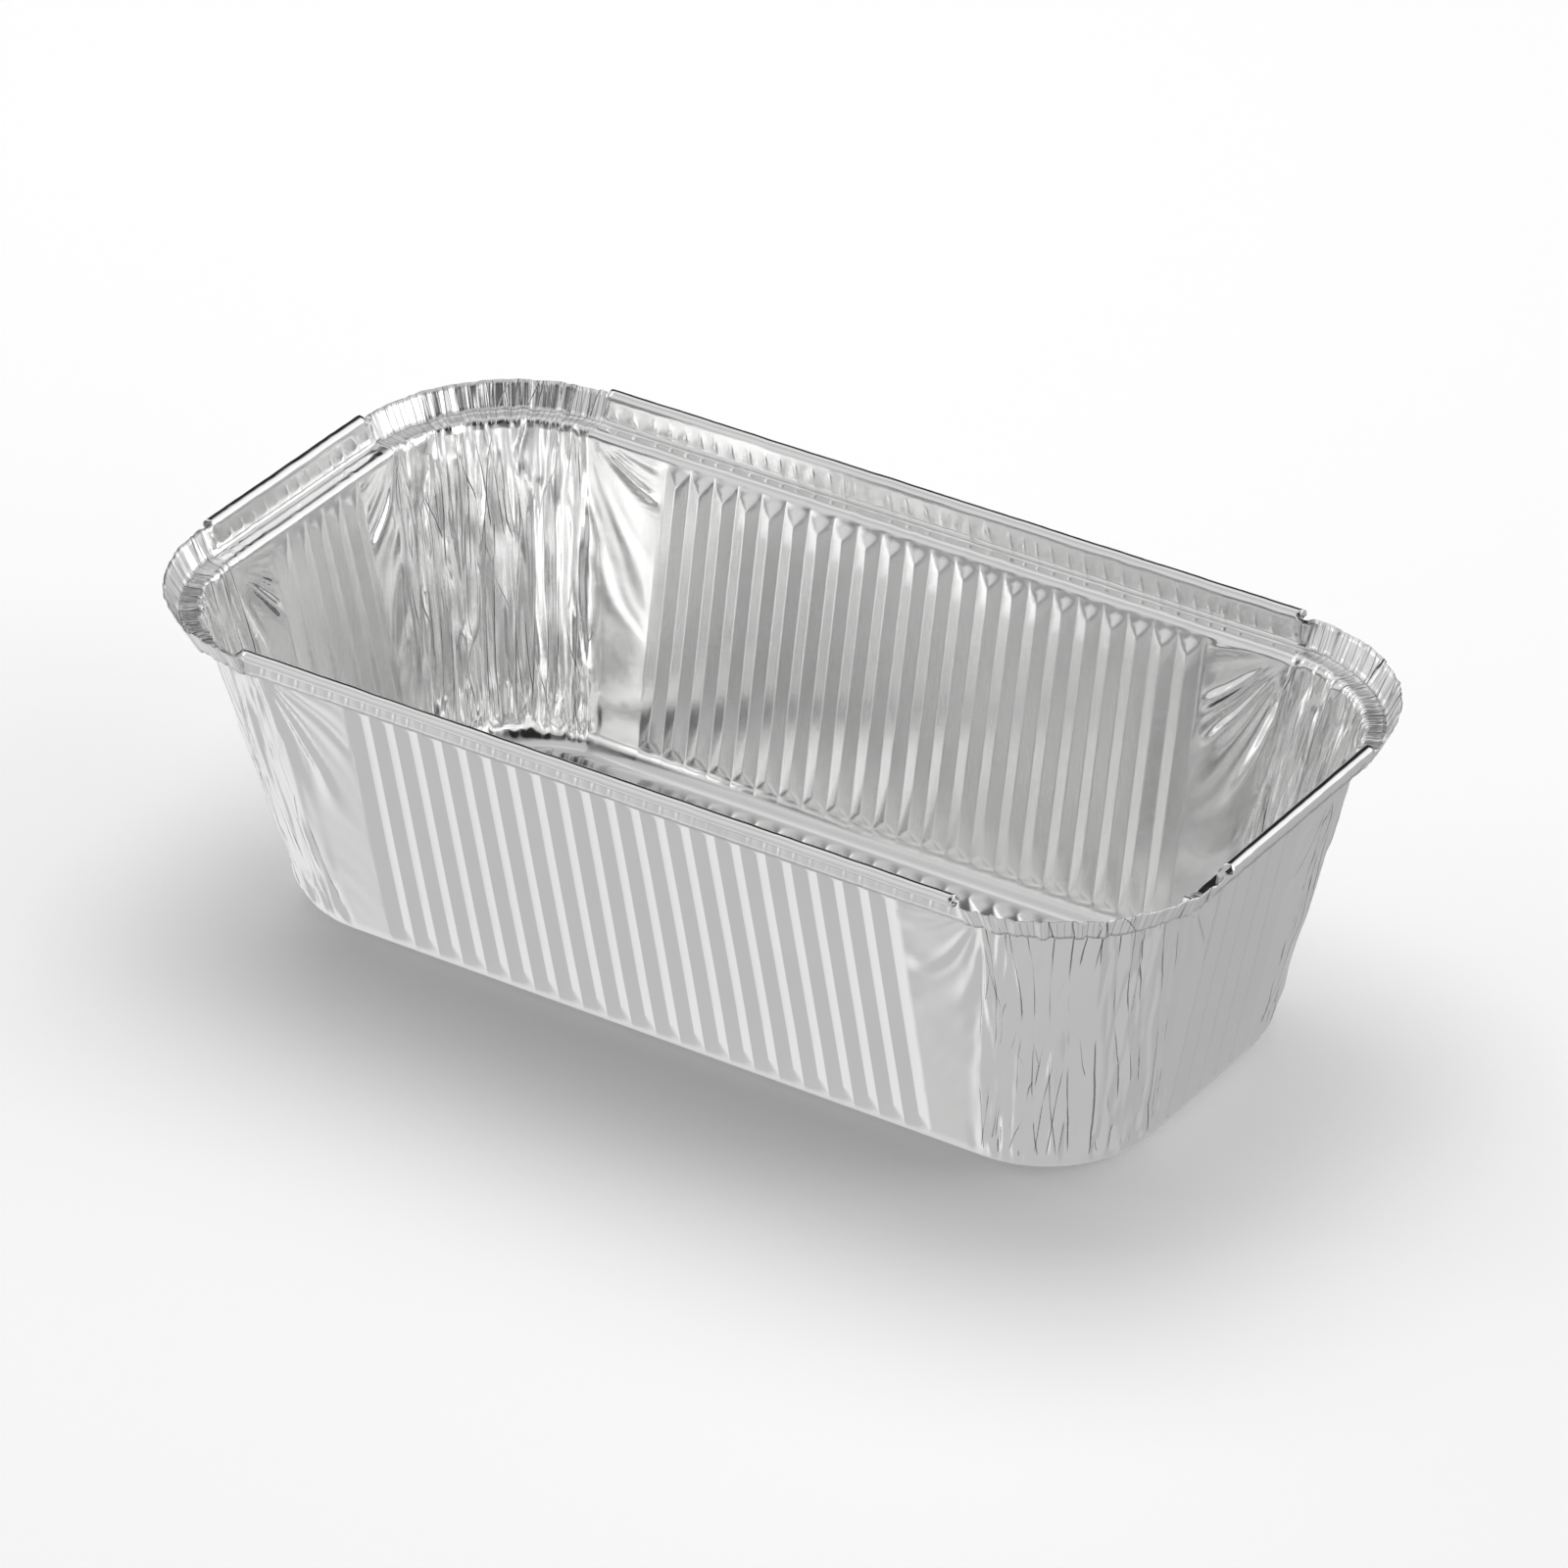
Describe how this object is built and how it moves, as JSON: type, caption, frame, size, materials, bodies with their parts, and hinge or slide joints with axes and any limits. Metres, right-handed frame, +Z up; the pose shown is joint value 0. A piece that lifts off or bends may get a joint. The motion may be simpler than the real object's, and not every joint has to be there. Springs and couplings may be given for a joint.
{
  "type": "foil roasting pan",
  "caption": "Oblong loaf-shaped roasting pan pressed from thin aluminium foil, with slanted fluted walls, pleated round corners, a flat ledge and a curled rim.",
  "frame": {"origin": "middle of the flat underside", "axes": "+X along the length, +Y across the width, +Z up out of the open top"},
  "size_m": [0.253, 0.134, 0.0775],
  "materials": {
    "foil": "bright rolled aluminium foil, creased and softly reflecting"
  },
  "bodies": {
    "root": {"pan": "foil"}
  },
  "joints": []
}
